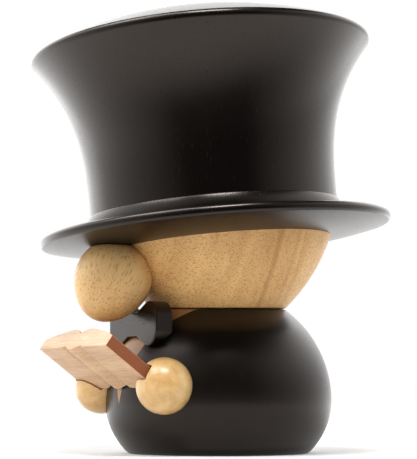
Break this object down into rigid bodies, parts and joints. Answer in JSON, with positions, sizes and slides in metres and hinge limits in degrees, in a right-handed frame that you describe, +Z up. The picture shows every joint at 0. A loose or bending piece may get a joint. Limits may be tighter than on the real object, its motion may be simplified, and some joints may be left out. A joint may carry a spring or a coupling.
{
  "type": "wooden figurine",
  "caption": "Turned wooden gentleman in a flared top hat and bow tie, holding a small open book in its slotted ball hands; the book lifts out.",
  "frame": {"origin": "middle of the flat base of the body, on the body's turning axis", "axes": "+Z up along the body's turning axis, the figure faces -Y and its left hand is on +X"},
  "size_m": [0.1071, 0.1076, 0.1328],
  "materials": {
    "jacket_stain": "black stain under a satin lacquer",
    "hat_stain": "black stain under a satin lacquer",
    "tie_stain": "black stain, satin",
    "shirt_wood": "pale wood, clear satin lacquer",
    "head_wood": "pale pored wood, clear satin lacquer",
    "nose_wood": "pale pored wood, clear satin lacquer",
    "hand_wood": "pale wood, clear gloss lacquer",
    "book_wood": "fine pinkish wood, oiled",
    "dowel_wood": "bare beech"
  },
  "bodies": {
    "figure": {"jacket_body": "jacket_stain", "shirt_front": "shirt_wood", "bow_tie": "tie_stain", "bow_tie_dowel": "dowel_wood", "left_hand": "hand_wood", "left_hand_dowel": "dowel_wood", "right_hand": "hand_wood", "right_hand_dowel": "dowel_wood", "neck_dowel": "dowel_wood", "head": "head_wood", "nose": "nose_wood", "nose_dowel": "dowel_wood", "hat_brim": "hat_stain", "hat_crown": "hat_stain", "hat_dowel": "dowel_wood"},
    "book": {"open_book": "book_wood"}
  },
  "joints": [
    {"name": "book_lift", "type": "slide", "parent": "figure", "child": "book", "axis": [0, -0.809, 0.5878], "range_m": [0, 0.02]}
  ]
}
